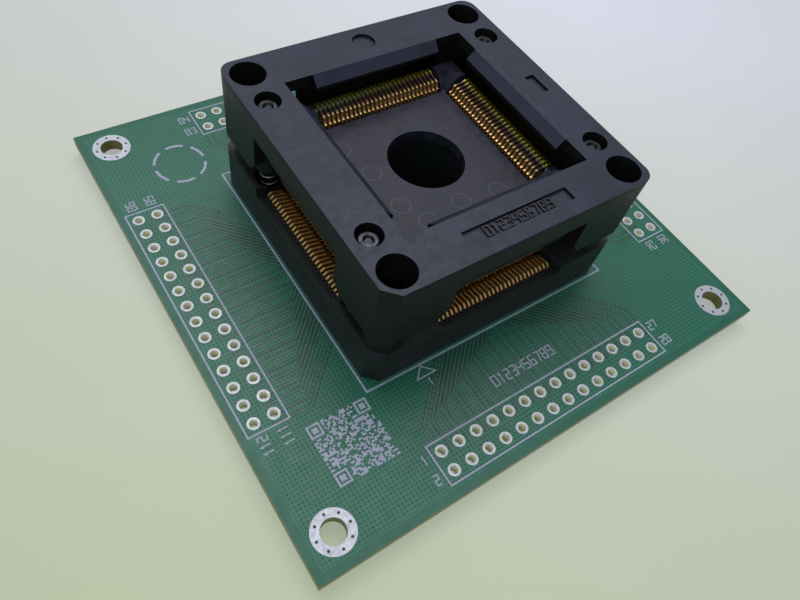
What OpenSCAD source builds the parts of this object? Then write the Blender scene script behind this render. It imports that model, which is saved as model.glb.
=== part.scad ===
// Open-top zero-insertion-force test socket for a quad flat package,
// soldered to its square adapter board.
// X runs along the front edge of the board, Y towards the rear, Z up.
// The origin is the middle of the board's outline, on the surface it stands on.

/* [Adapter board] */
// Length of each side of the square board
board_w = 70; // [66:1:80]
// Thickness of the board
board_t = 1.6; // [1.2:0.1:2.4]
// Distance of the corner mounting holes from the board's edges
mount_inset = 4; // [3:0.1:5]
// Diameter of the corner mounting holes
mount_d = 3.0; // [2.6:0.1:3.6]
// Width of the metal land round each mounting hole
mount_land = 1.05; // [0.8:0.05:1.6]
// Thickness of the plated lands and pads
plating_t = 0.05; // [0.04:0.01:0.1]

/* [Header holes] */
// Pitch of the header holes
header_pitch = 2.54; // [2.5:0.02:2.54]
// Number of columns of header holes on each side
header_cols = 14; // [10:1:14]
// Distance of the outer row from the front and rear edges
header_inset_y = 2.87; // [2:0.01:4]
// Distance of the outer row from the left and right edges
header_inset_x = 2.3; // [2:0.05:4]
// How far the front rows lie to the right, and the rear rows to the left
header_shift_x = 0.6; // [0:0.05:1]
// How far the left rows lie to the rear, and the right rows to the front
header_shift_y = 0.35; // [0:0.05:1]
// Inner diameter of a plated header hole
header_d = 1.0; // [0.8:0.05:1.1]
// Outer diameter of a header pad
header_pad_d = 1.55; // [1.5:0.05:1.8]

/* [Socket] */
// How far the socket's middle lies behind the middle of the board
socket_back = 0.35; // [-0.5:0.05:0.8]
// Radius of the rounded corners
corner_r = 1.8; // [1:0.1:2.2]
// Chamfer on the corner next to contact 1
key_chamfer = 1.7; // [1:0.1:2]
// Height of the base's rim above the board
rim_h = 6.3; // [6:0.1:6.8]
// Height of the base's rim in front of the contacts
rim_notch_h = 4.9; // [4.6:0.1:5.2]
// Height of the nest's floor, where the package lies
floor_h = 12.3; // [12.2:0.05:12.5]
// Thickness of the nest plate
nest_t = 1.4; // [1:0.1:2]
// Diameter of the hole in the middle of the nest
centre_d = 10; // [8:0.5:12]
// Length of each side of the package's body
package_w = 20; // [19.8:0.1:20.2]
// Height of the corner guides above the nest's floor
locator_h = 1.9; // [1:0.1:2]
// Width of each corner guide's flat top
locator_top_w = 1.2; // [0.8:0.1:1.4]

/* [Cover] */
// Height of the cover's top above the board, when it is up
cover_h = 18.3; // [18.2:0.1:19]
// How far the cover is pressed down
cover_travel = 2.5; // [2:0.1:2.5]
// Thickness of the cover's top
cover_top_t = 1.6; // [1.2:0.1:1.6]
// Thickness of the cover's outer walls
cover_wall = 1.4; // [1:0.1:1.45]
// Half the width of the square window
window_r = 13.05; // [12.8:0.05:13.2]
// How far the sloped lips reach into the window
lip_reach = 1.15; // [0.8:0.05:1.3]
// Half the length of each sloped lip
lip_half = 9.2; // [8.8:0.1:9.4]
// Depth of the band above each side arch
band_h = 3.3; // [3:0.1:3.6]
// Half the width of each side arch
arch_half = 9.5; // [9.3:0.1:9.8]
// Height of the skirt's lower edge above the board, when the cover is up
skirt_h = 8.9; // [8.9:0.1:9.4]
// Diameter of the corner bores
corner_bore_d = 4.4; // [4.2:0.1:4.6]
// Wall between a corner bore and the socket's side
corner_edge = 0.6; // [0.5:0.05:1]
// Web between a corner bore and the spring pocket next to it
corner_web = 1.55; // [1.2:0.05:2]
// Length of the label recess
label_l = 15; // [10:0.5:16]
// Width of the label recess
label_w = 1.9; // [1.5:0.1:2.2]
// Depth of the recesses in the cover's top
recess_t = 0.4; // [0.2:0.05:0.6]
// Height of the band round the cover's top, above the groove
edge_band = 0.5; // [0.3:0.05:0.8]
// Depth and height of the groove round the cover
groove = 0.15; // [0.1:0.05:0.2]

/* [Contacts] */
// Pitch of the contacts
pitch = 0.65; // [0.62:0.01:0.65]
// Number of contacts on each side
contacts = 28; // [20:1:28]
// Thickness of the stamped sheet
contact_t = 0.25; // [0.2:0.01:0.28]
// Width of the stamped strip at its spring arms
strip_w = 0.42; // [0.34:0.02:0.44]
// Distance of the contact's turning point from the middle
pivot_r = 12.6; // [12.5:0.05:12.7]
// Height of the contact's turning point above the board
pivot_h = 6.2; // [6.1:0.05:6.4]

/* [Fasteners and springs] */
// Diameter of a guide pin's shank
pin_d = 1.5; // [1.2:0.1:1.6]
// Depth of the guide pins' heads below the cover's top, when it is up
pin_sunk = 0.8; // [0.6:0.1:1.2]
// Outer diameter of a spring
spring_d = 2.5; // [2.3:0.05:2.7]
// Wall between a spring pocket and the end of the contact row
pocket_wall = 0.225; // [0.2:0.025:0.5]
// Diameter of the spring wire
wire_d = 0.32; // [0.24:0.02:0.36]
// Number of turns in a spring
turns = 10; // [6:1:11]
// Diameter of the socket screws
screw_d = 2; // [1.6:0.1:2]
// Diameter of the screw heads
screw_head_d = 3.7; // [3.2:0.1:3.8]
// Height of the hexagon nuts
nut_h = 1.2; // [1.2:0.1:1.6]
// Width across the flats of the nuts
nut_af = 4; // [3.6:0.1:4.4]

/* [Hidden] */
$fn = 40;

fit = 0.02;                 // gap of pieces pressed together
running_fit = 0.08;         // gap of pieces that slide on each other
cut = 0.5;                  // how far a cutter runs past a face
right = 0;                  // the four sides, counted anticlockwise
rear = 1;
left = 2;
front = 3;

// Heights and distances in the board's frame
mount_at = board_w / 2 - mount_inset;
board_bottom = nut_h;
board_top = board_bottom + board_t;

// Heights and distances in the socket's frame: its middle, on the board's top
row_half = (contacts - 1) * pitch / 2;
trench_half = row_half + pitch;
pocket_d = spring_d + 0.3;
pin_y = trench_half + pocket_wall + pocket_d / 2;
corner_bore_at = pin_y + pocket_d / 2 + corner_web + corner_bore_d / 2;
socket_w = 2 * (corner_bore_at + corner_bore_d / 2 + corner_edge);
pin_x = socket_w / 2 - cover_wall - spring_d / 2 - 0.1;
trench_in = package_w / 2 - 0.25;
trench_out = socket_w / 2 - 0.95;
slot_w = contact_t + 0.1;
comb_floor = 1;
fin_h = floor_h - 0.25 - strip_w;   // top of the fins, just under the seats
fin_out = pivot_r - 0.75;   // outer face of the tall part of the fins
wall_in = socket_w / 2 - cover_wall;
ceiling_h = cover_h - cover_top_t;
arch_h = cover_h - band_h;
block_r = trench_in + 4.35;
block_corner = 0.5;         // chamfer on the block's corners

// Contact profile
seat_h = floor_h - 0.2;
seat_tip = package_w / 2 + 0.15;
post_r = pivot_r - 1.35;
beam_h = comb_floor + 0.1 + strip_w / 2;
loop_r = trench_out - 0.35;
loop_h = rim_h - 0.7;
bend_r = pivot_r + 0.9;
bend_h = pivot_h - 1.85;
nose_r = package_w / 2 + 0.05;
nose_h = floor_h + 0.22;
shoulder_h = floor_h + 1.6;
lever_r = pivot_r + 3.3;
lever_h = pivot_h + 2.8;
lever_drop = 1.16;          // fall of the lever's end when the contact is open
lever_gap = 0.2;

// Guide pins, springs and screws
pin_head_d = pin_d + 1.1;
pin_head_t = 0.9;
pin_grip = 4.3;             // length of the pin that the base holds
pin_foot = rim_h - pin_grip;
counterbore_d = pin_head_d + 0.6;
web_top = cover_h - pin_sunk - pin_head_t - fit;
web_t = 1.3;
pin_head_h = web_top + fit;
spring_seat = rim_h - 0.9;  // sunk seat in the rim, which the cover's sleeve comes down to
spring_bottom = spring_seat - 0.9;
sleeve_d = spring_d + 1.1;
sleeve_bottom = spring_seat + cover_travel + 0.3;
spring_top = web_top - web_t - fit;
post_sunk = 6.3;            // depth of the base's corner posts below the cover's top
post_top = cover_h - post_sunk;
screw_head_t = 1.3;
tail_length = 1;
tail_w = 0.4;
tail_rows = [for (i = [0 : 3]) post_r + 1.45 + i * 1.5];
tail_hole_d = 0.64;

// ---- helpers ----
module on_socket() {
    translate([0, socket_back, board_top]) children();
}

// Puts a piece drawn for the right side on side k
module on_side(k) {
    on_socket() rotate([0, 0, 90 * k]) children();
}

// Extrudes a profile drawn as [distance from the middle, height] along the side
module bar(half) {
    translate([0, half, 0]) rotate([90, 0, 0]) linear_extrude(height = 2 * half) children();
}

module at_corners(x, y) {
    for (sx = [-1, 1], sy = [-1, 1]) translate([sx * x, sy * y, 0]) children();
}

function unit(v) = v / norm(v);
function normal(v) = [-v[1], v[0]];

// Offset of point i of a line to one side, mitred at the bends
function side_point(p, i, d) =
    let (a = i == 0 ? unit(p[1] - p[0]) : unit(p[i] - p[i - 1]),
         b = i == len(p) - 1 ? a : unit(p[i + 1] - p[i]),
         m = unit(normal(a) + normal(b)))
    p[i] + m * d / (m * normal(a));

// Outline of a strip of width w along the line p
function strip(p, w) = concat(
    [for (i = [0 : len(p) - 1]) side_point(p, i, w / 2)],
    [for (i = [len(p) - 1 : -1 : 0]) side_point(p, i, -w / 2)]);

// Points of an arc round c, from angle a0 to a1
function arc(c, r, a0, a1, n) =
    [for (i = [0 : n]) c + r * [cos(a0 + (a1 - a0) * i / n), sin(a0 + (a1 - a0) * i / n)]];

// One stamped piece for each contact position
module each_contact() {
    for (i = [0 : contacts - 1])
        translate([0, i * pitch - row_half + contact_t / 2, 0]) rotate([90, 0, 0])
            linear_extrude(height = contact_t) children();
}

// Square plan with three rounded corners and a chamfer at the corner of contact 1
module socket_plan(w) {
    h = w / 2;
    c = h - corner_r;
    polygon(concat(
        [[-h, -h + key_chamfer], [-h + key_chamfer, -h]],
        arc([c, -c], corner_r, -90, 0, 6),
        arc([c, c], corner_r, 0, 90, 6),
        arc([-c, c], corner_r, 90, 180, 6)));
}

// ---- adapter board ----
module header_grid(k) {
    side = k == right || k == left;
    outward = k == right || k == rear ? 1 : -1;
    at = board_w / 2 - (side ? header_inset_x : header_inset_y) - header_pitch;
    shift = -outward * (side ? header_shift_y : header_shift_x);
    for (row = [0, 1], col = [0 : header_cols - 1]) {
        along = (col - (header_cols - 1) / 2) * header_pitch + shift;
        across = (at + row * header_pitch) * outward;
        translate(side ? [across, along, 0] : [along, across, 0]) children();
    }
}

module tail_grid() {
    for (k = [right, rear, left, front], i = [0 : contacts - 1])
        translate([0, socket_back, 0]) rotate([0, 0, 90 * k])
            translate([tail_rows[i % len(tail_rows)], i * pitch - row_half, 0]) children();
}

module board() {
    pad_hole_d = header_d + 0.16 + 2 * fit;
    color("seagreen") difference() {
        translate([-board_w / 2, -board_w / 2, board_bottom]) cube([board_w, board_w, board_t]);
        translate([0, 0, board_bottom - cut]) {
            at_corners(mount_at, mount_at) cylinder(h = board_t + 2 * cut, d = mount_d);
            translate([0, socket_back, 0]) at_corners(corner_bore_at, corner_bore_at)
                cylinder(h = board_t + 2 * cut, d = screw_d + 0.2);
            for (k = [right, rear, left, front])
                header_grid(k) cylinder(h = board_t + 2 * cut, d = pad_hole_d, $fn = 24);
            tail_grid() cylinder(h = board_t + 2 * cut, d = tail_hole_d, $fn = 16);
        }
    }
}

module mounting_lands() {
    color("silver") at_corners(mount_at, mount_at)
        for (z = [board_top, board_bottom - plating_t]) translate([0, 0, z]) difference() {
            cylinder(h = plating_t, d = mount_d + 2 * mount_land);
            translate([0, 0, -cut]) cylinder(h = plating_t + 2 * cut, d = mount_d);
        }
}

// Plated hole: a pad on each face, joined by a thin barrel
module header_pads(k) {
    barrel_r = header_d / 2 + 0.08;
    color("lightgray") header_grid(k) rotate_extrude($fn = 24) polygon([
        [header_d / 2, board_bottom - plating_t], [header_pad_d / 2, board_bottom - plating_t],
        [header_pad_d / 2, board_bottom], [barrel_r, board_bottom],
        [barrel_r, board_top], [header_pad_d / 2, board_top],
        [header_pad_d / 2, board_top + plating_t], [header_d / 2, board_top + plating_t]]);
}

// ---- socket base ----
// Plan of the middle block: a square whose sides are cut back for the contact rows
module block_plan(inset) {
    difference() {
        intersection() {
            square(2 * (block_r - inset), center = true);
            rotate([0, 0, 45]) square(sqrt(2) * (2 * block_r - block_corner) - 2 * inset, center = true);
        }
        for (k = [0 : 3]) rotate([0, 0, 90 * k])
            translate([trench_in - inset, -trench_half - inset])
                square([block_r, 2 * (trench_half + inset)]);
    }
}

module socket_base() {
    trench_w = trench_out - trench_in;
    color("dimgray") on_socket() difference() {
        union() {
            difference() {
                linear_extrude(height = rim_h) socket_plan(socket_w);
                for (k = [0 : 3]) rotate([0, 0, 90 * k]) {
                    translate([trench_in, -trench_half, -cut])
                        cube([trench_w, 2 * trench_half, rim_h + 2 * cut]);
                    translate([trench_out - cut, -arch_half, rim_notch_h])
                        cube([socket_w / 2, 2 * arch_half, rim_h]);
                }
            }
            linear_extrude(height = floor_h - nest_t) block_plan(0);
            at_corners(corner_bore_at, corner_bore_at)
                cylinder(h = post_top, d = corner_bore_d - 2 * running_fit);
        }
        translate([0, 0, -cut]) cylinder(h = floor_h, d = centre_d + 0.4);
        at_corners(corner_bore_at, corner_bore_at)
            translate([0, 0, -cut]) cylinder(h = post_top + 2 * cut, d = screw_d + 2 * running_fit);
        at_corners(pin_x, pin_y) {
            translate([0, 0, pin_foot - fit]) cylinder(h = rim_h, d = pin_d + 2 * fit);
            translate([0, 0, spring_bottom]) cylinder(h = rim_h, d = pocket_d);
            translate([0, 0, spring_seat]) cylinder(h = rim_h, d = sleeve_d + 0.4);
        }
    }
}

// Floor of the nest, with a guide at each corner that leads the package down into its place
module nest_plate() {
    locate = package_w / 2 + 0.12;
    guide_out = window_r - 0.25;
    guide_in = guide_out - locator_top_w;
    lead = 0.3;
    color("slategray") on_socket() difference() {
        union() {
            translate([0, 0, floor_h - nest_t]) linear_extrude(height = nest_t) block_plan(0);
            translate([0, 0, floor_h]) linear_extrude(height = locator_h) difference() {
                square(2 * guide_out, center = true);
                for (a = [0, 90]) rotate([0, 0, a])
                    square([2 * block_r + cut, 2 * (trench_half + 0.05)], center = true);
            }
        }
        translate([0, 0, floor_h - nest_t - cut]) cylinder(h = nest_t + 2 * cut, d = centre_d);
        translate([0, 0, floor_h]) linear_extrude(height = lead + cut) square(2 * locate, center = true);
        translate([0, 0, floor_h + lead])
            linear_extrude(height = locator_h - lead + 0.01, scale = (guide_in + 0.01) / locate)
                square(2 * locate, center = true);
    }
}

// Comb that holds one row of contacts at their pitch
module contact_comb(k) {
    slot_in = post_r - strip_w / 2 - 0.1;
    fin_low = bend_h - strip_w - 0.25;
    color("#2b2d33") on_side(k) difference() {
        bar(trench_half - fit) polygon([
            [trench_in + fit, 0], [trench_out - fit, 0], [trench_out - fit, rim_notch_h + 0.2],
            [loop_r - 0.6, loop_h - strip_w], [bend_r, fin_low], [fin_out, fin_low],
            [fin_out, fin_h], [trench_in + fit, fin_h]]);
        for (i = [0 : contacts - 1]) translate([0, i * pitch - row_half - slot_w / 2, 0]) {
            translate([slot_in, 0, comb_floor]) cube([trench_out - slot_in - 0.1, slot_w, fin_h]);
            translate([tail_rows[i % len(tail_rows)] - tail_w / 2 - 0.05, 0, -cut])
                cube([tail_w + 0.1, slot_w, comb_floor + 2 * cut]);
        }
    }
}

// ---- contacts ----
// Fixed part: seat, post, beam, outer loop and the spring arm up to the turning point
function loop_line() = concat(
    [[seat_tip, seat_h - strip_w / 2], [post_r - 0.25, seat_h - strip_w / 2],
     [post_r, seat_h - strip_w / 2 - 0.3], [post_r, beam_h + 0.3], [post_r + 0.3, beam_h],
     [loop_r - 0.5, beam_h], [loop_r - strip_w / 2, beam_h + 0.6]],
    [[loop_r - strip_w / 2, loop_h - 0.35], [loop_r - 0.55, loop_h - 0.1],
     [loop_r - 1.95, loop_h - 0.4], [loop_r - 2.6, bend_h + 0.08], [bend_r + 0.35, bend_h]],
    arc([pivot_r + 0.45, bend_h + 0.75], 0.65, -60, -180, 4),
    [[pivot_r - 0.1, pivot_h - 0.45]]);

module contacts_row(k) {
    color("goldenrod") on_side(k) {
        each_contact() polygon(strip(loop_line(), strip_w));
        for (i = [0 : contacts - 1])
            translate([tail_rows[i % len(tail_rows)] - tail_w / 2, i * pitch - row_half - contact_t / 2,
                       -board_t - tail_length])
                cube([tail_w, contact_t, board_t + tail_length + beam_h]);
    }
}

// Moving part: an S-shaped nose over the seat, a shoulder, and the lever that the cover presses
// Its points are shares of the nose's reach from the turning point and of its rise over the tip.
function nose_line() =
    let (reach = pivot_r - nose_r, rise = shoulder_h - nose_h, back = nose_r + 1.17 * reach)
    concat(
        [for (q = [[0, 0], [0.12, 0.09], [0.2, 0.36], [0.24, 0.66], [0.39, 0.71], [0.67, 0.76],
                   [0.9, 0.93], [1.08, 0.9]]) [nose_r + q[0] * reach, nose_h + q[1] * rise]],
        [[back, nose_h + 0.57 * rise], [back, nose_h - 0.6 * rise],
         [pivot_r + 0.1, pivot_h + 2.6], [pivot_r, pivot_h + 0.1]]);

function lever_line() =
    let (out = lever_r - pivot_r, rise = lever_h - pivot_h)
    [for (q = [[0, 0.04], [0.15, -0.03], [0.6, -0.1], [0.76, -0.05], [0.84, 0.2], [1, 0.93]])
        [pivot_r + q[0] * out, pivot_h + q[1] * rise]];

module contact_arms(k) {
    color("gold") on_side(k) each_contact() union() {
        polygon(strip(nose_line(), strip_w));
        polygon(strip(lever_line(), strip_w));
        translate([pivot_r, pivot_h]) circle(r = strip_w / 2 + 0.06, $fn = 16);
        translate(lever_line()[5]) circle(r = strip_w / 2 + 0.06, $fn = 16);
    }
}

// ---- cover ----
// One side bar: top with its sloped lip, outer band and the rib that presses the levers
module cover_bar() {
    rib_in = lever_r + 0.1;
    rib_out = wall_in - 0.4;
    rib_bottom = lever_h + lever_gap + cover_travel - lever_drop;
    bar(lip_half) polygon([
        [window_r + cut, cover_h], [window_r, cover_h], [window_r - lip_reach, cover_h - lip_reach],
        [window_r - lip_reach, ceiling_h], [window_r + cut, ceiling_h]]);
    bar(lip_half) polygon([
        [rib_in, ceiling_h + cut], [rib_in, rib_bottom], [rib_out, rib_bottom],
        [rib_out, ceiling_h + cut]]);
}

// Cutter of a side arch: straight jambs that flare at the foot
module arch_cut() {
    flare = 1.4;
    translate([wall_in - cut, 0, 0]) rotate([90, 0, 90]) linear_extrude(height = cover_wall + 2 * cut)
        polygon([
            [-arch_half - flare, skirt_h - cut], [-arch_half - flare, skirt_h],
            [-arch_half, skirt_h + 1.6], [-arch_half, arch_h], [arch_half, arch_h],
            [arch_half, skirt_h + 1.6], [arch_half + flare, skirt_h],
            [arch_half + flare, skirt_h - cut]]);
}

module cover() {
    bar_mid = (window_r + socket_w / 2) / 2;
    column = 2 * (corner_bore_d / 2 + corner_edge + 0.1);
    color("#3a3b45") on_socket() difference() {
        union() {
            difference() {
                translate([0, 0, skirt_h]) linear_extrude(height = cover_h - skirt_h)
                    socket_plan(socket_w);
                difference() {
                    translate([-wall_in, -wall_in, skirt_h - cut])
                        cube([2 * wall_in, 2 * wall_in, ceiling_h - skirt_h + cut]);
                    at_corners(corner_bore_at, corner_bore_at) cylinder(h = cover_h, d = column);
                    at_corners(pin_x, pin_y)
                        translate([0, 0, web_top - web_t]) cylinder(h = cover_h, d = counterbore_d + 1);
                }
                translate([-window_r, -window_r, skirt_h - cut])
                    cube([2 * window_r, 2 * window_r, cover_h]);
                for (k = [0 : 3]) rotate([0, 0, 90 * k]) arch_cut();
            }
            for (k = [0 : 3]) rotate([0, 0, 90 * k]) cover_bar();
            at_corners(pin_x, pin_y)
                translate([0, 0, sleeve_bottom]) cylinder(h = web_top - sleeve_bottom, d = sleeve_d);
        }
        at_corners(corner_bore_at, corner_bore_at)
            translate([0, 0, skirt_h - cut]) cylinder(h = cover_h, d = corner_bore_d);
        at_corners(pin_x, pin_y) {
            translate([0, 0, web_top]) cylinder(h = cover_h, d = counterbore_d);
            translate([0, 0, sleeve_bottom - cut]) {
                cylinder(h = cover_h, d = pin_d + 2 * running_fit);
                cylinder(h = web_top - web_t - sleeve_bottom + cut, d = spring_d + 0.2);
            }
        }
        translate([0, 0, cover_h - edge_band - groove]) linear_extrude(height = groove) difference() {
            socket_plan(socket_w + cut);
            socket_plan(socket_w - 2 * groove);
        }
        translate([0, 0, cover_h - recess_t]) {
            translate([-label_l / 2, -bar_mid - label_w / 2 - 0.1, 0])
                cube([label_l, label_w, recess_t + cut]);
            translate([bar_mid - 0.4, -label_w * 0.7, 0])
                cube([label_w * 0.76, label_w * 1.74, recess_t + cut]);
            translate([0, bar_mid + 0.2, 0]) cylinder(h = recess_t + cut, d = label_w * 1.6);
        }
    }
}

// ---- guide pins, springs, screws, nuts and solder ----
module guide_pins() {
    color("gainsboro") on_socket() at_corners(pin_x, pin_y) {
        translate([0, 0, pin_foot]) cylinder(h = pin_head_h + pin_head_t / 2 - pin_foot, d = pin_d);
        translate([0, 0, pin_head_h]) rotate_extrude() polygon([
            [0, 0], [pin_head_d / 2, 0], [pin_head_d / 2, pin_head_t - 0.25],
            [pin_head_d / 2 - 0.25, pin_head_t], [pin_head_d / 4, pin_head_t],
            [pin_head_d / 6, pin_head_t - 0.3], [0, pin_head_t - 0.3]]);
    }
}

// Wire swept along a helix whose first and last turns lie flat against their seats
module spring(sx, sy) {
    sides = 6;
    steps = 14;
    rings = turns * steps;
    coil_r = (spring_d - wire_d) / 2;
    h = spring_top - spring_bottom - wire_d;
    function rise(u) = let (f = 0.9 / turns) min(1, max(0, (u - f * 0.9) / (1 - 1.8 * f)));
    function ring(j) = let (u = j / rings, a = 360 * turns * u)
        [for (i = [0 : sides - 1]) let (b = 360 * i / sides, q = coil_r + wire_d / 2 * cos(b))
            [q * cos(a), q * sin(a), spring_bottom + wire_d / 2 + h * (0.02 * u + 0.98 * rise(u))
             + wire_d / 2 * sin(b)]];
    points = [for (j = [0 : rings]) each ring(j)];
    faces = concat(
        [[for (i = [0 : sides - 1]) i]],
        [for (j = [0 : rings - 1], i = [0 : sides - 1])
            let (a = j * sides + i, b = j * sides + (i + 1) % sides)
            [a, a + sides, b + sides, b]],
        [[for (i = [sides - 1 : -1 : 0]) rings * sides + i]]);
    color("silver") on_socket() translate([sx * pin_x, sy * pin_y, 0]) polyhedron(points, faces);
}

module socket_screws() {
    slot = 0.4;
    color("gainsboro") on_socket() at_corners(corner_bore_at, corner_bore_at) {
        translate([0, 0, -board_t - nut_h + 0.1])
            cylinder(h = post_top + board_t + nut_h, d = screw_d);
        translate([0, 0, post_top]) difference() {
            rotate_extrude() polygon(concat([[0, 0], [screw_head_d / 2, 0]],
                arc([screw_head_d / 2 - 0.55, screw_head_t - 0.55], 0.55, 0, 90, 5),
                [[0, screw_head_t]]));
            for (a = [0, 90]) rotate([0, 0, a])
                translate([-0.95, -slot / 2, screw_head_t - 0.6]) cube([1.9, slot, 1]);
        }
    }
}

module hex_nuts() {
    color("lightsteelblue") on_socket() at_corners(corner_bore_at, corner_bore_at)
        translate([0, 0, -board_t - nut_h]) difference() {
            cylinder(h = nut_h, d = nut_af / cos(30), $fn = 6);
            translate([0, 0, -cut]) cylinder(h = nut_h + 2 * cut, d = screw_d + 2 * fit);
        }
}

module solder_joints() {
    inner = 0.25;
    color("silver") tail_grid() translate([0, 0, board_bottom]) rotate_extrude($fn = 16) polygon([
        [inner, 0], [tail_hole_d / 2 + 0.2, 0], [tail_hole_d / 2 - 0.02, -0.35], [inner, -0.6]]);
}

board();
mounting_lands();
header_pads(front);  // header_pads_front
header_pads(right);  // header_pads_right
header_pads(rear);  // header_pads_rear
header_pads(left);  // header_pads_left
socket_base();
nest_plate();
contact_comb(front);  // contact_comb_front
contact_comb(right);  // contact_comb_right
contact_comb(rear);  // contact_comb_rear
contact_comb(left);  // contact_comb_left
contacts_row(front);  // contacts_front
contacts_row(right);  // contacts_right
contacts_row(rear);  // contacts_rear
contacts_row(left);  // contacts_left
contact_arms(front);  // contact_arms_front
contact_arms(right);  // contact_arms_right
contact_arms(rear);  // contact_arms_rear
contact_arms(left);  // contact_arms_left
cover();
guide_pins();
spring(-1, -1);  // spring_front_left
spring(1, -1);  // spring_front_right
spring(-1, 1);  // spring_rear_left
spring(1, 1);  // spring_rear_right
socket_screws();
hex_nuts();
solder_joints();
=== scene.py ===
import math
import random

import bpy
from mathutils import Matrix, Vector


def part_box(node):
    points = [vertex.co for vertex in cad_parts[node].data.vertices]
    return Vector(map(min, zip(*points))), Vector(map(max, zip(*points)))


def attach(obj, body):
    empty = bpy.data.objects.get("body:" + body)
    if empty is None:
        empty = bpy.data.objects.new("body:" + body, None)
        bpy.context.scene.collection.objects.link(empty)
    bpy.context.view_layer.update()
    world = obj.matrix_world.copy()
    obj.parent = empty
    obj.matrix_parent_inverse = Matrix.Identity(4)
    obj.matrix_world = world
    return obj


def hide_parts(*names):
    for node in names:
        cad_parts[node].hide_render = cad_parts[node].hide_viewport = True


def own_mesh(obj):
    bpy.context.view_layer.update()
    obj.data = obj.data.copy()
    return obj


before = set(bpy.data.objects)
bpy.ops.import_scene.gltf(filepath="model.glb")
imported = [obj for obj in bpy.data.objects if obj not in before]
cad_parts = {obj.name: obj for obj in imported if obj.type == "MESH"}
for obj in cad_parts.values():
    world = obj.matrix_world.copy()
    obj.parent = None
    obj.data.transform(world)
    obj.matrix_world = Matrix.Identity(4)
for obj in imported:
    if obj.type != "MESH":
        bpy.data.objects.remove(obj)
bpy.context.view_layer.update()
MM = 0.001
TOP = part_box("board")[1].z
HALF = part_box("board")[1].x
NEST_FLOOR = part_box("nest_plate")[0].z + 1.4 * MM  # top of its plate, below its raised parts


def add(name, data):
    """A new object in the scene."""
    obj = bpy.data.objects.new(name, data)
    bpy.context.scene.collection.objects.link(obj)
    return obj


# ---------------------------------------------------------------- camera
def make_camera():
    """The photo's view: degrees from +X, below the horizon and about its own axis, and its place."""
    heading, dip, roll = (math.radians(v) for v in (45.113, 56.661, 14.175))
    place = Matrix.Translation((-0.04351, -0.04341, 0.07195))
    cam_data = bpy.data.cameras.new("camera")
    cam = add("camera", cam_data)
    aim = Matrix.Rotation(heading - math.pi / 2, 4, "Z") @ Matrix.Rotation(math.pi / 2 - dip, 4, "X")
    cam.matrix_world = place @ aim @ Matrix.Rotation(roll, 4, "Z")
    cam_data.sensor_width = 36.0
    cam_data.lens = 29.10
    cam_data.shift_x = 0.0159
    cam_data.shift_y = 0.0189
    cam_data.clip_start = 0.005
    bpy.context.scene.camera = cam


make_camera()


# ---------------------------------------------------------------- shader helpers
class Shader:
    """A material under construction, with short calls for its nodes."""

    def __init__(self, name):
        self.mat = bpy.data.materials.new(name)
        self.mat.use_nodes = True
        self.nodes = self.mat.node_tree.nodes
        self.links = self.mat.node_tree.links
        self.bsdf = self.nodes["Principled BSDF"]
        self.coords = self.nodes.new("ShaderNodeTexCoord").outputs["Object"]

    def put(self, socket, value):
        if hasattr(value, "links"):
            self.links.new(value, socket)
        else:
            socket.default_value = value

    def set(self, **values):
        for key, value in values.items():
            self.put(self.bsdf.inputs[key.replace("_", " ")], value)

    def math(self, kind, a, b=0.0, c=0.0, clamp=False):
        n = self.nodes.new("ShaderNodeMath")
        n.operation = kind
        n.use_clamp = clamp
        for socket, value in zip(n.inputs, (a, b, c)):
            self.put(socket, value)
        return n.outputs[0]

    def axes(self):
        n = self.nodes.new("ShaderNodeSeparateXYZ")
        self.put(n.inputs[0], self.coords)
        return n.outputs

    def upright(self):
        """1 on upright walls, 0 on faces that look up or down."""
        n = self.nodes.new("ShaderNodeSeparateXYZ")
        self.put(n.inputs[0], self.nodes.new("ShaderNodeNewGeometry").outputs["Normal"])
        return self.spread(self.math("ABSOLUTE", n.outputs[2]), 0.4, 0.1)

    def noise(self, scale, detail=3.0, rough=0.55):
        n = self.nodes.new("ShaderNodeTexNoise")
        self.put(n.inputs["Vector"], self.coords)
        n.inputs["Scale"].default_value = scale
        n.inputs["Detail"].default_value = detail
        n.inputs["Roughness"].default_value = rough
        return n.outputs["Fac"]

    def spread(self, value, low, high, to_low=0.0, to_high=1.0):
        n = self.nodes.new("ShaderNodeMapRange")
        for socket, v in zip(n.inputs, (value, low, high, to_low, to_high)):
            self.put(socket, v)
        return n.outputs[0]

    def blend(self, fac, a, b):
        n = self.nodes.new("ShaderNodeMix")
        n.data_type = "RGBA"
        self.put(n.inputs[0], fac)
        self.put(n.inputs[6], a)
        self.put(n.inputs[7], b)
        return n.outputs[2]

    def edge(self, radius):
        """1 on sharp edges, 0 on flat faces."""
        n = self.nodes.new("ShaderNodeBevel")
        n.samples = 4
        n.inputs["Radius"].default_value = radius
        g = self.nodes.new("ShaderNodeNewGeometry")
        dot = self.nodes.new("ShaderNodeVectorMath")
        dot.operation = "DOT_PRODUCT"
        self.put(dot.inputs[0], n.outputs[0])
        self.put(dot.inputs[1], g.outputs["Normal"])
        return self.spread(dot.outputs["Value"], 0.995, 0.9)

    def bump(self, height, strength, distance, round_edges=0.0):
        n = self.nodes.new("ShaderNodeBump")
        n.inputs["Strength"].default_value = strength
        n.inputs["Distance"].default_value = distance
        self.put(n.inputs["Height"], height)
        if round_edges:
            b = self.nodes.new("ShaderNodeBevel")
            b.samples = 6
            b.inputs["Radius"].default_value = round_edges
            self.put(n.inputs["Normal"], b.outputs[0])
        self.put(self.bsdf.inputs["Normal"], n.outputs[0])


def rgb(r, g, b):
    """A display colour, 0 to 255, as the linear colour that a shader takes."""
    def lin(v):
        v /= 255.0
        return v / 12.92 if v <= 0.04045 else ((v + 0.055) / 1.055) ** 2.4
    return (lin(r), lin(g), lin(b), 1.0)


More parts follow.
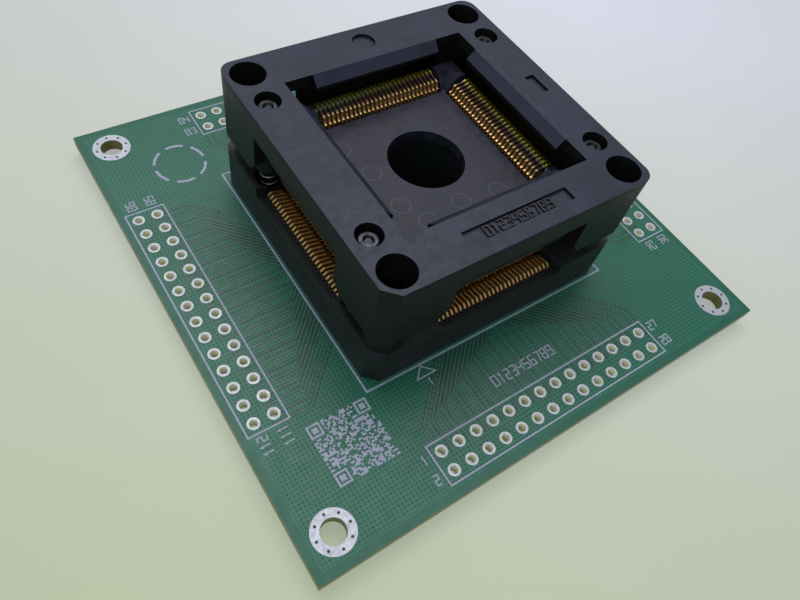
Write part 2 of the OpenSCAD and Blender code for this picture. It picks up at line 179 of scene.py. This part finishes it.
def plastic(name, base, light, rough=0.42, grain=1.0, spec=0.5, side=None, painted_sheen=0.0):
    """A moulding: fine grain, broad clouds, paler edges, and broad patches of painted sheen if asked; upright
    walls may get painted shade, a darker colour of their own.
    """
    s = Shader(name)
    fine = s.noise(5200.0, 2.0)
    broad = s.noise(260.0, 4.0)
    fac = s.math("MULTIPLY_ADD", fine, 0.35, s.math("MULTIPLY", broad, 0.5))
    paler_edges = s.math("MULTIPLY", s.edge(0.00012), 0.5)
    tone = s.math("ADD", s.spread(fac, 0.3, 0.6, 0.0, 0.6), paler_edges, clamp=True)
    # Painted sheen: broad patches lighten the colour
    if painted_sheen:
        painted_sheen_patches = s.math("MULTIPLY", s.spread(s.noise(900.0, 5.0, 0.7), 0.4, 0.6), painted_sheen)
        tone = s.math("ADD", tone, painted_sheen_patches, clamp=True)
    colour = s.blend(tone, base, light)
    # Painted shade: upright walls take the darker colours given for them
    if side:
        colour = s.blend(s.upright(), colour, s.blend(tone, side[0], side[1]))
    s.set(Base_Color=colour)
    s.set(Roughness=s.spread(s.noise(900.0, 3.0), 0.3, 0.7, rough - 0.07, rough + 0.09))
    s.set(Specular_IOR_Level=spec)
    s.bump(fine, 0.25 * grain, 0.00002, round_edges=0.00010)
    return s.mat


def metal(name, base, dark, rough, grain=2400.0, metallic=1.0, barrel_painted_light=None):
    """A metal or print; a colour given for its upright inner walls is painted light there: duller and paler,
    standing in for the light seen through the holes.
    """
    s = Shader(name)
    tone = s.noise(grain, 3.0)
    colour = s.blend(s.spread(tone, 0.35, 0.7), base, dark)
    if barrel_painted_light:
        # Painted light: the upright inner walls turn pale and lose their metal
        wall = s.upright()
        colour = s.blend(wall, colour, barrel_painted_light)
        metallic = s.spread(wall, 0.0, 1.0, metallic, 0.0)
    s.set(Base_Color=colour, Metallic=metallic)
    s.set(Roughness=s.spread(s.noise(grain * 0.5), 0.3, 0.7, rough - 0.06, rough + 0.1))
    s.bump(tone, 0.15, 0.00001)
    return s.mat


# Distances from the socket's middle at which the S-bends and the arms of the contacts begin
BEND_FROM, ARM_FROM = 10.6 * MM, 11.9 * MM


def contact_material():
    """Gold plating, with painted shade darkening the S-bends' tops, where the gold reflects the dark inside
    of the cover, and a painted greenish reflection where the arms catch the daylight.
    """
    s = Shader("contact_gold")
    x, y, z = s.axes()
    lo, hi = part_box("socket_base")
    middle = (lo.y + hi.y) / 2
    out = s.math("MAXIMUM", s.math("ABSOLUTE", x), s.math("ABSOLUTE", s.math("SUBTRACT", y, middle)))
    tone = s.noise(2600.0, 3.0)
    nose = s.blend(tone, rgb(226, 190, 130), rgb(188, 148, 92))
    # Painted shade: the S-bends' tops take this dark colour in place of the dark they reflect
    bend = s.blend(tone, rgb(112, 84, 78), rgb(78, 58, 56))
    # Painted reflection: the arms take this greenish colour in place of the daylight they reflect
    arm_painted_reflection = s.blend(tone, rgb(190, 182, 70), rgb(140, 128, 44))
    high = s.spread(z, NEST_FLOOR - 0.4 * MM, NEST_FLOOR)
    painted_shade_on_bend = s.math("MULTIPLY", high, s.spread(out, BEND_FROM, BEND_FROM + 0.3 * MM))
    painted_reflection_on_arm = s.math("MULTIPLY", high, s.spread(out, ARM_FROM, ARM_FROM + 0.3 * MM))
    s.set(Base_Color=s.blend(painted_reflection_on_arm, s.blend(painted_shade_on_bend, nose, bend), arm_painted_reflection), Metallic=0.85)
    s.set(Roughness=s.spread(s.noise(1500.0), 0.3, 0.7, 0.34, 0.48))
    s.bump(tone, 0.15, 0.00001)
    return s.mat


# Painted shade: the cover's upright walls get these colours, darker and less blue than its top
PAINTED_WALL_SHADE = (rgb(8, 11, 10), rgb(22, 26, 25))  # the cover's upright walls
BLACK = plastic("moulding_black", rgb(20, 24, 25), rgb(40, 45, 46), 0.46, spec=0.35)
COVER = plastic("cover_black", rgb(25, 28, 44), rgb(53, 57, 84), 0.44, 1.3, 0.34, side=PAINTED_WALL_SHADE)
# The nest gets broad patches of painted sheen
NEST = plastic("nest_black", rgb(20, 22, 33), rgb(43, 45, 62), 0.46, 1.2, 0.34, painted_sheen=0.8)
GOLD = contact_material()
STEEL = metal("pin_steel", rgb(74, 76, 82), rgb(40, 41, 45), 0.40)
SPRING = metal("spring_steel", rgb(132, 134, 140), rgb(84, 86, 90), 0.34)
SCREW = metal("screw_steel", rgb(180, 182, 186), rgb(112, 112, 116), 0.28)
TIN = metal("tinned_pad", rgb(188, 191, 200), rgb(172, 175, 186), 0.48, metallic=0.6)
# The plated holes' inner walls carry painted light
PAD = metal("plated_hole", rgb(194, 196, 204), rgb(178, 181, 190), 0.50, metallic=0.5,
            barrel_painted_light=rgb(236, 238, 214))
SOLDER = metal("solder", rgb(180, 182, 188), rgb(132, 134, 140), 0.34)


HATCH_PITCH = 0.508 * MM
HATCH_INSET = 1.0 * MM  # from the board's edge to the hatched copper
HATCH_WEB = 0.26  # half a copper line's width, as a share of the pitch


def board_material():
    """Solder mask over hatched copper, with the laminate bare on the board's edges."""
    s = Shader("solder_mask")
    x, y, _ = s.axes()

    def lines(v):
        cell = s.math("FRACT", s.math("DIVIDE", v, HATCH_PITCH))
        off = s.math("ABSOLUTE", s.math("SUBTRACT", cell, 0.5))
        return s.spread(off, 0.45 - HATCH_WEB, 0.55 - HATCH_WEB)

    hatch = s.math("MAXIMUM", lines(x), lines(y))
    reach = s.math("MAXIMUM", s.math("ABSOLUTE", x), s.math("ABSOLUTE", y))
    ends = HALF - HATCH_INSET
    inside = s.spread(reach, ends + 0.05 * MM, ends)
    frame_line = s.spread(reach, ends - 0.2 * MM, ends - 0.25 * MM)
    cover = s.math("MAXIMUM", s.math("MULTIPLY", inside, hatch), s.math("SUBTRACT", inside, frame_line))
    tone = s.noise(160.0, 4.0)
    copper = s.blend(tone, rgb(26, 98, 76), rgb(40, 114, 92))
    bare = s.blend(tone, rgb(8, 62, 46), rgb(16, 74, 58))
    margin = s.blend(0.6, bare, copper)
    top = s.blend(inside, margin, s.blend(cover, bare, copper))
    laminate = s.blend(s.noise(3000.0, 3.0), rgb(104, 104, 52), rgb(140, 134, 74))
    s.set(Base_Color=s.blend(s.upright(), top, laminate))
    s.set(Roughness=s.spread(s.noise(700.0), 0.3, 0.7, 0.34, 0.46), Specular_IOR_Level=0.4)
    s.bump(cover, 0.25, 0.00002)
    return s.mat


MASK = board_material()

# The first start of a name that fits gives the node's look
LOOKS = {"board": MASK, "mounting_lands": TIN, "header_pads": PAD, "socket_base": BLACK, "nest_plate": NEST,
         "cover": COVER, "guide_pins": STEEL, "socket_screws": SCREW, "hex_nuts": SCREW,
         "solder_joints": SOLDER, "contact_comb": BLACK, "contact": GOLD, "spring": SPRING}
for name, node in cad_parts.items():
    look = next(mat for start, mat in LOOKS.items() if name.startswith(start))
    node.data.materials.clear()
    node.data.materials.append(look)


# ---------------------------------------------------------------- floor, backdrop and light
def staged_plane(name, size, z, mat):
    mesh = bpy.data.meshes.new(name)
    h = size / 2
    mesh.from_pydata([(-h, -h, z), (h, -h, z), (h, h, z), (-h, h, z)], [], [(0, 1, 2, 3)])
    mesh.materials.append(mat)
    obj = add(name, mesh)


def floor_material():
    s = Shader("floor_paper")
    x, y, _ = s.axes()
    far = s.math("MULTIPLY", s.math("ADD", x, y), math.sqrt(0.5))
    across = s.math("ABSOLUTE", s.math("MULTIPLY", s.math("SUBTRACT", x, y), math.sqrt(0.5)))
    # Painted light on the paper: greener near the camera, paler and bluer further off, with painted shade
    # darkening it to the left and right
    near = s.blend(s.spread(far, -0.055, -0.005), rgb(184, 195, 166), rgb(200, 206, 194))
    colour = s.blend(s.spread(far, 0.0, 0.07), near, rgb(214, 217, 230))
    colour = s.blend(s.spread(across, 0.02, 0.10, 0.0, 0.35), colour, rgb(160, 164, 160))
    tone = s.noise(40.0, 5.0)
    colour = s.blend(s.spread(tone, 0.3, 0.7, 0.0, 0.06), colour, rgb(170, 176, 160))
    # The paper shines through a little where it is seen, so the holes and shadows stay pale
    path = s.nodes.new("ShaderNodeLightPath").outputs
    seen = s.math("MAXIMUM", path["Is Camera Ray"], s.math("MAXIMUM", path["Is Glossy Ray"],
                                                           path["Is Transmission Ray"]))
    s.set(Base_Color=s.blend(0.55, colour, rgb(0, 0, 0)), Roughness=0.8, Specular_IOR_Level=0.2)
    s.set(Emission_Color=colour, Emission_Strength=s.math("MULTIPLY", seen, 0.62))
    return s.mat


staged_plane("floor", 3.0, 0.0, floor_material())


def area(name, where, at, size, power):
    data = bpy.data.lights.new(name, "AREA")
    data.shape = "RECTANGLE"
    data.size, data.size_y = size
    data.energy = power
    obj = add(name, data)
    obj.location = where
    obj.rotation_euler = (Vector(at) - Vector(where)).to_track_quat("-Z", "Y").to_euler()


area("top_light", (0.10, 0.25, 0.60), (0, 0, 0), (0.6, 0.5), 2.5)
area("fill_light", (-0.5, -0.25, 0.35), (0, 0, 0.01), (0.5, 0.4), 0.6)

world = bpy.data.worlds.new("studio")
bpy.context.scene.world = world
world.use_nodes = True
sky = world.node_tree
lit = sky.nodes["Background"]
lit.inputs["Color"].default_value = (0.90, 0.94, 1.0, 1.0)
lit.inputs["Strength"].default_value = 0.45
seen = sky.nodes.new("ShaderNodeBackground")
seen.inputs["Color"].default_value = rgb(206, 210, 218)
choose = sky.nodes.new("ShaderNodeMixShader")
sky.links.new(sky.nodes.new("ShaderNodeLightPath").outputs["Is Camera Ray"], choose.inputs[0])
sky.links.new(lit.outputs[0], choose.inputs[1])
sky.links.new(seen.outputs[0], choose.inputs[2])
sky.links.new(choose.outputs[0], sky.nodes["World Output"].inputs["Surface"])
bpy.context.scene.view_settings.view_transform = "Standard"


# ---------------------------------------------------------------- thin prints on the board
def circle(cx, cy, r, count):
    turns = [2 * math.pi * k / count for k in range(count)]
    return [(cx + r * math.cos(a), cy + r * math.sin(a)) for a in turns]


class Sheet:
    """Closed flat pieces, one thickness, gathered into one mesh."""

    def __init__(self, z, thick):
        self.z, self.thick = z, thick
        self.verts, self.faces = [], []

    def poly(self, points):
        """One convex outline, counter-clockwise, in millimetres."""
        n, start = len(points), len(self.verts)
        for h in (0.0, self.thick):
            self.verts += [(px * MM, py * MM, self.z + h) for px, py in points]
        self.faces.append([start + n + k for k in range(n)])
        self.faces.append([start + n - 1 - k for k in range(n)])
        for k in range(n):
            j = (k + 1) % n
            self.faces.append([start + k, start + j, start + n + j, start + n + k])

    def rect(self, x0, y0, x1, y1):
        self.poly([(x0, y0), (x1, y0), (x1, y1), (x0, y1)])

    def strip(self, path, width, closed=False):
        """A line of one width along a path, with mitred corners."""
        pts = [Vector(p) for p in path]
        n = len(pts)
        left, right = [], []
        for k in range(n):
            before = pts[k] - pts[k - 1] if (k or closed) else pts[1] - pts[0]
            after = pts[(k + 1) % n] - pts[k] if (k < n - 1 or closed) else pts[-1] - pts[-2]
            a, b = before.normalized(), after.normalized()
            side = Vector((-(a + b).y, (a + b).x)).normalized()
            side *= 0.5 * width / max(0.4, side.dot(Vector((-a.y, a.x))))
            left.append(pts[k] + side)
            right.append(pts[k] - side)
        start = len(self.verts)
        for h in (0.0, self.thick):
            for row in (left, right):
                self.verts += [(p.x * MM, p.y * MM, self.z + h) for p in row]
        lo_l, lo_r, hi_l, hi_r = start, start + n, start + 2 * n, start + 3 * n
        for k in range(n if closed else n - 1):
            j = (k + 1) % n
            self.faces += [[hi_l + k, hi_r + k, hi_r + j, hi_l + j], [lo_l + j, lo_r + j, lo_r + k, lo_l + k],
                           [lo_l + k, hi_l + k, hi_l + j, lo_l + j], [lo_r + j, hi_r + j, hi_r + k, lo_r + k]]
        if not closed:
            e = n - 1
            self.faces += [[lo_l, lo_r, hi_r, hi_l], [lo_r + e, lo_l + e, hi_l + e, hi_r + e]]

    def frame(self, x0, y0, x1, y1, width):
        self.strip([(x0, y0), (x1, y0), (x1, y1), (x0, y1)], width, closed=True)

    def object(self, name, mat, slot, body="base"):
        mesh = bpy.data.meshes.new(name)
        mesh.from_pydata(self.verts, [], self.faces)
        mesh.materials.append(mat)
        mesh.validate()
        obj = add(name, mesh)
        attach(obj, body)


DIGITS = {  # strokes on a grid 2 wide and 4 high
    "0": [[(0, 0), (2, 0), (2, 4), (0, 4), (0, 0)]],
    "1": [[(0.4, 3.2), (1, 4), (1, 0)]],
    "2": [[(0, 4), (2, 4), (2, 2), (0, 2), (0, 0), (2, 0)]],
    "3": [[(0, 4), (2, 4), (2, 0), (0, 0)], [(0.5, 2), (2, 2)]],
    "4": [[(0, 4), (0, 2), (2, 2)], [(2, 4), (2, 0)]],
    "5": [[(2, 4), (0, 4), (0, 2), (2, 2), (2, 0), (0, 0)]],
    "6": [[(2, 4), (0, 4), (0, 0), (2, 0), (2, 2), (0, 2)]],
    "7": [[(0, 4), (2, 4), (1, 0)]],
    "8": [[(0, 0), (2, 0), (2, 4), (0, 4), (0, 0)], [(0, 2), (2, 2)]],
    "9": [[(0, 0), (2, 0), (2, 4), (0, 4), (0, 2), (2, 2)]],
}


def number(sheet, text, x, y, height, angle=0.0, width=0.16):
    """Plain digits, centred on x, y."""
    unit = height / 4
    step = 3.0 * unit
    ca, sa = math.cos(angle), math.sin(angle)
    for k, ch in enumerate(text):
        at = (k - (len(text) - 1) / 2) * step
        for stroke in DIGITS[ch]:
            path = []
            for px, py in stroke:
                u, v = at + (px - 1) * unit, (py - 2) * unit
                path.append((x + u * ca - v * sa, y + u * sa + v * ca))
            closed = path[0] == path[-1]
            sheet.strip(path[:-1] if closed else path, width, closed)


SILK = metal("silkscreen", rgb(164, 169, 190), rgb(146, 151, 176), 0.6, 3000.0, 0.0)
silk = Sheet(TOP, 0.02 * MM)


def turned(path, quarters):
    """A path drawn for the front side, turned to another side of the board."""
    for _ in range(quarters):
        path = [(-py, px) for px, py in path]
    return path


def box_of(side, grow):
    lo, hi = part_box("header_pads_" + side)
    return [v / MM for v in (lo.x - grow, lo.y - grow, hi.x + grow, hi.y + grow)]


# From here on, plain lengths are in millimetres
SIDES = ("front", "right", "rear", "left")
PITCH, COLUMNS, PAD_R = 2.54, 14, 0.77
BASE = [v / MM for v in (*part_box("socket_base")[0], *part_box("socket_base")[1])]
SOCKET_Y = (BASE[1] + BASE[4]) / 2
SOCKET_R = (BASE[3] - BASE[0]) / 2

# The frames round the header holes and round the socket
for side in SIDES:
    x0, y0, x1, y1 = box_of(side, 0.55 * MM)
    silk.frame(x0, y0, x1, y1, 0.2)
edge = SOCKET_R + 0.45
silk.frame(-edge, SOCKET_Y - edge, edge, SOCKET_Y + edge, 0.22)

# Plain numbers at the ends of the rows: (inner, outer) at each end
ROW_DIGITS = 1.15
ROW_ENDS = {"front": (("1", "2"), ("27", "28")), "right": (("29", "30"), ("55", "56")),
            "rear": (("83", "84"), ("57", "58")), "left": (("111", "112"), ("85", "86"))}
for side, (first, last) in ROW_ENDS.items():
    upright = side in ("right", "left")
    x0, y0, x1, y1 = box_of(side, 0.0)
    for end, pair in ((-1, first), (1, last)):
        for text, row in zip(pair, (-1, 1)):
            away = 1.3 + 0.3 * len(text)
            if upright:
                px = (x0 + x1) / 2 + row * math.copysign(PITCH / 2, x0)
                number(silk, text, px, y1 + away if end > 0 else y0 - away, ROW_DIGITS, math.pi / 2)
            else:
                py = (y0 + y1) / 2 + row * math.copysign(PITCH / 2, y0)
                number(silk, text, x1 + away if end > 0 else x0 - away, py, ROW_DIGITS)

# The mark of contact 1, a row of plain digits, and a ring of dashes
ONE_X, ONE_Y = -11.85, -20.75
silk.strip([(ONE_X - 1.35, ONE_Y), (ONE_X + 1.35, ONE_Y), (ONE_X, ONE_Y + 1.4)], 0.18, closed=True)
number(silk, "1", ONE_X, ONE_Y - 0.95, 0.9)
number(silk, "0123456789", -0.2, -25.6, 1.35)
DASH_X, DASH_Y, DASH_R = -23.8, 24.25, 3.5
for k in range(6):
    arc = [math.radians(60 * k + 7 * j) for j in range(7)]
    silk.strip([(DASH_X + DASH_R * math.cos(v), DASH_Y + DASH_R * math.sin(v)) for v in arc], 0.4)

# A block of scattered squares that carries no code
random.seed(12)
CELL, CELLS, BLOCK_X, BLOCK_Y = 0.24, 33, -28.0, -27.4
CORNER, FINDER = 8, 7  # cells left free in a corner, and cells along its square
PRINTED = 0.46  # share of the other cells
for row in range(CELLS):
    run = 0
    for col in range(CELLS + 1):
        at_side = col < CORNER or col >= CELLS - CORNER
        corner = (row < CORNER and col < CORNER) or (row >= CELLS - CORNER and at_side)
        if col < CELLS and not corner and random.random() < PRINTED:
            run += 1
        elif run:
            silk.rect(BLOCK_X + (col - run) * CELL, BLOCK_Y + row * CELL, BLOCK_X + col * CELL,
                      BLOCK_Y + (row + 1) * CELL)
            run = 0
for cx, cy in ((0, 0), (0, CELLS - FINDER), (CELLS - FINDER, CELLS - FINDER)):
    x0, y0 = BLOCK_X + cx * CELL, BLOCK_Y + cy * CELL
    far = (FINDER - 0.5) * CELL
    silk.frame(x0 + CELL / 2, y0 + CELL / 2, x0 + far, y0 + far, CELL)
    silk.rect(x0 + 2 * CELL, y0 + 2 * CELL, x0 + 5 * CELL, y0 + 5 * CELL)

silk.object("silkscreen", SILK, "tinned_pads")

# Tracks from the header holes to the socket, each in a gap of the hatched copper
GAP = metal("track_gap", rgb(8, 48, 36), rgb(12, 56, 44), 0.4, 1500.0, 0.0)
TRACK = metal("track", rgb(30, 98, 76), rgb(40, 110, 88), 0.38, 1500.0, 0.0)
gaps, tracks = Sheet(TOP, 0.008 * MM), Sheet(TOP, 0.014 * MM)
TRACK_END = SOCKET_R + 0.3  # distance from the board's middle at which the tracks end
TRACK_BEND = 26.0  # the largest distance from it at which a track bends
GATHER = 0.55  # where a track would end along the side, as a share of where it starts
for quarter, side in enumerate(SIDES):
    lo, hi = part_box("header_pads_" + side)
    local = turned([((lo.x + hi.x) / 2 / MM, (lo.y + hi.y) / 2 / MM)], (4 - quarter) % 4)[0]
    for k in range(COLUMNS * 2):
        u = local[0] + (k - COLUMNS + 1) / 2 * PITCH
        start = -local[1] - PITCH / 2 - (PAD_R if k % 2 == 0 else -PAD_R)
        shift = abs(u - GATHER * u)
        bend = min(TRACK_END + shift, TRACK_BEND)
        path = [(u, -start), (u, -bend), (u - math.copysign(bend - TRACK_END, u), -TRACK_END)]
        if shift < 0.4:
            path = [path[0], (u, -TRACK_END)]
        gaps.strip(turned(path, quarter), 0.46)
        tracks.strip(turned(path, quarter), 0.2)
gaps.object("track_gaps", GAP, "circuit_board")
tracks.object("tracks", TRACK, "circuit_board")

# Small plated holes in the rings of the mounting holes, drawn as flat dark discs: painted shade in place of
# the holes' insides
LAND_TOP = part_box("mounting_lands")[1].z
MOUNT = HALF / MM - 4.0  # from the board's middle to a mounting hole, along x and y
RING_R, HOLE_R = 2.05, 0.18
HOLE_SHADE = metal("small_hole_shade", rgb(52, 62, 58), rgb(36, 44, 42), 0.5, 3000.0, 0.0)
holes = Sheet(LAND_TOP, 0.01 * MM)
for sx in (-1, 1):
    for sy in (-1, 1):
        for k in range(8):
            v = math.radians(45 * k)
            cx, cy = sx * MOUNT + RING_R * math.cos(v), sy * MOUNT + RING_R * math.sin(v)
            holes.poly(circle(cx, cy, HOLE_R, 12))
holes.object("small_holes", HOLE_SHADE, "tinned_pads")

# Round marks that the mould's pins left on the nest's floor
MARK = plastic("pin_mark", rgb(72, 74, 88), rgb(98, 100, 116), 0.5)
marks = Sheet(NEST_FLOOR, 0.01 * MM)
MARK_R = 1.2
PIN_MARKS = ((-7.6, 1.2), (-7.3, -4.8), (-5.6, -8.2), (-0.2, -7.4), (-9.0, 6.2), (5.2, -8.0))
for cx, cy in PIN_MARKS:
    marks.strip(circle(cx, cy, MARK_R, 32), 0.11, closed=True)
marks.object("pin_marks", MARK, "nest_moulding")

# Raised digits in the recess of the cover's front bar
LABEL = plastic("label_digits", rgb(24, 25, 30), rgb(44, 45, 54), 0.5)
RECESS = 0.4 * MM
label = Sheet(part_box("cover")[1].z - RECESS, 0.22 * MM)
number(label, "0123456789", 0.0, SOCKET_Y - 16.12, 1.32, 0.0, 0.17)
label.object("label_digits", LABEL, "cover_moulding", "cover")

# ---------------------------------------------------------------- springs, as closed coils
WIRE, TURNS = 0.32 * MM, 10
DEAD = 0.081  # share of the coil that lies almost flat at each end
CREEP = 0.02  # share of the height that the coil gains evenly, flat ends and all


def coil(node):
    """A closed coil in the place of a CAD spring, on the base."""
    lo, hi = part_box(node)
    cx, cy = (lo.x + hi.x) / 2, (lo.y + hi.y) / 2
    coil_r, height = (hi.x - lo.x - WIRE) / 2, hi.z - lo.z - WIRE
    sides, rings = 10, TURNS * 24
    verts, faces = [], []
    for j in range(rings + 1):
        share = j / rings
        a = 2 * math.pi * TURNS * share
        rise = min(1.0, max(0.0, (share - DEAD) / (1 - 2 * DEAD)))
        z = lo.z + WIRE / 2 + height * (CREEP * share + (1 - CREEP) * rise)
        for i in range(sides):
            b = 2 * math.pi * i / sides
            q = coil_r + WIRE / 2 * math.cos(b)
            verts.append((cx + q * math.cos(a), cy + q * math.sin(a), z + WIRE / 2 * math.sin(b)))
    for j in range(rings):
        for i in range(sides):
            a, b = j * sides + i, j * sides + (i + 1) % sides
            faces.append((a, a + sides, b + sides, b))
    faces += [list(range(sides)), [rings * sides + sides - 1 - i for i in range(sides)]]
    mesh = bpy.data.meshes.new("coil_" + node)
    mesh.from_pydata(verts, [], faces)
    mesh.materials.append(SPRING)
    mesh.shade_smooth()
    obj = add("coil_" + node, mesh)
    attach(obj, "base")
    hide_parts(node)
    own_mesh(obj)


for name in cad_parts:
    if name.startswith("spring_"):
        coil(name)
